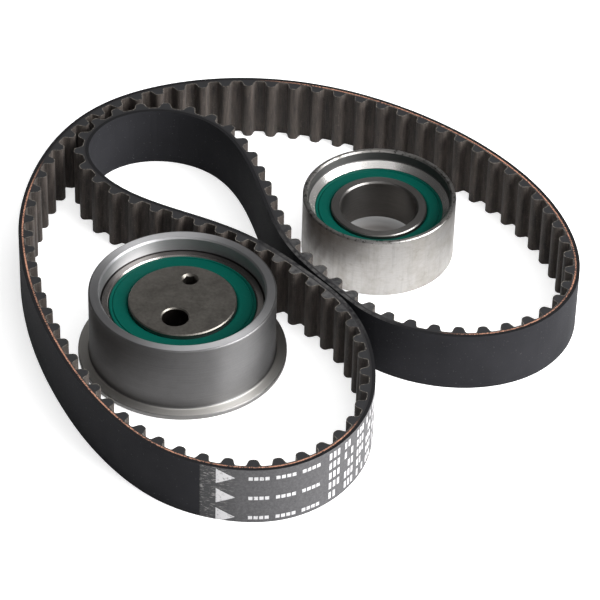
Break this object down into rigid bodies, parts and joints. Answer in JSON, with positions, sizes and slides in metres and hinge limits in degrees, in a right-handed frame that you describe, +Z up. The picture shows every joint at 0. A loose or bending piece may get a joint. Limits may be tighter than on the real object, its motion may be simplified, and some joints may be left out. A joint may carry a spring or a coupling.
{
  "type": "timing belt set",
  "caption": "Endless rubber timing belt with round teeth, lying loose in a folded loop on its edge, with a flanged eccentric tensioner and a plain idler roller on sealed ball bearings.",
  "frame": {"origin": "on the surface the set lies on, under the centre of the belt's outline", "axes": "+Z up, along the belt's width and along every bearing's axis; +Y along the longest side of the folded belt's outline; +X to the right, seen from the front (-Y) side"},
  "size_m": [0.2162, 0.2352, 0.03],
  "materials": {
    "belt_rubber": "matt black moulded rubber back, lightly ground",
    "tooth_rubber": "matt charcoal rubber, cut edge",
    "tension_cord": "resin-dipped glass-fibre cord, orange-brown where it is cut",
    "facing_fabric": "woven nylon facing, warm grey-brown, matt",
    "tensioner_steel": "satin turned and coated grey steel",
    "race_steel": "ground and polished bearing steel",
    "idler_race_steel": "ground bearing steel, dark satin",
    "hub_steel": "dark ground steel with a faint mottled grain",
    "idler_steel": "bright ground steel with a nicked rim",
    "seal_rubber": "deep green moulded seal rubber, semi-matt",
    "ball_steel": "polished bearing balls",
    "cage_nylon": "natural glass-filled nylon",
    "washer_steel": "pressed steel seal washer"
  },
  "bodies": {
    "belt": {"belt_backing": "belt_rubber", "belt_tension_cord": "tension_cord", "belt_teeth": "tooth_rubber", "belt_facing_fabric": "facing_fabric"},
    "tensioner_hub": {"tensioner_hub": "hub_steel", "tensioner_inner_race": "race_steel"},
    "tensioner_pulley": {"tensioner_shell": "tensioner_steel", "tensioner_outer_race": "race_steel", "tensioner_upper_seal": "seal_rubber", "tensioner_lower_seal": "seal_rubber", "tensioner_upper_seal_washer": "washer_steel", "tensioner_lower_seal_washer": "washer_steel"},
    "tensioner_rolling_set": {"tensioner_balls": "ball_steel", "tensioner_ball_cage": "cage_nylon"},
    "idler_core": {"idler_inner_race": "idler_race_steel"},
    "idler_roller": {"idler_shell": "idler_steel", "idler_outer_race": "race_steel", "idler_upper_seal": "seal_rubber", "idler_lower_seal": "seal_rubber", "idler_upper_seal_washer": "washer_steel", "idler_lower_seal_washer": "washer_steel"},
    "idler_rolling_set": {"idler_balls": "ball_steel", "idler_ball_cage": "cage_nylon"}
  },
  "joints": [
    {"name": "tensioner_lift", "type": "slide", "parent": "belt", "child": "tensioner_hub", "axis": [0, 0, 1], "range_m": [0, 0.06]},
    {"name": "tensioner_spin", "type": "hinge", "parent": "tensioner_hub", "child": "tensioner_pulley", "pos_m": [-0.0428, -0.024, 0.0153], "axis": [0, 0, 1], "continuous": true},
    {"name": "tensioner_cage_roll", "type": "hinge", "parent": "tensioner_hub", "child": "tensioner_rolling_set", "pos_m": [-0.0428, -0.024, 0.0153], "axis": [0, 0, 1], "continuous": true},
    {"name": "idler_lift", "type": "slide", "parent": "belt", "child": "idler_core", "axis": [0, 0, 1], "range_m": [0, 0.06]},
    {"name": "idler_spin", "type": "hinge", "parent": "idler_core", "child": "idler_roller", "pos_m": [0.0313, 0.0418, 0.0132], "axis": [0, 0, 1], "continuous": true},
    {"name": "idler_cage_roll", "type": "hinge", "parent": "idler_core", "child": "idler_rolling_set", "pos_m": [0.0313, 0.0418, 0.0132], "axis": [0, 0, 1], "continuous": true}
  ],
  "couplings": [
    {"joint": "tensioner_cage_roll", "follows": "tensioner_spin", "ratio": 0.5932},
    {"joint": "idler_cage_roll", "follows": "idler_spin", "ratio": 0.5888}
  ]
}
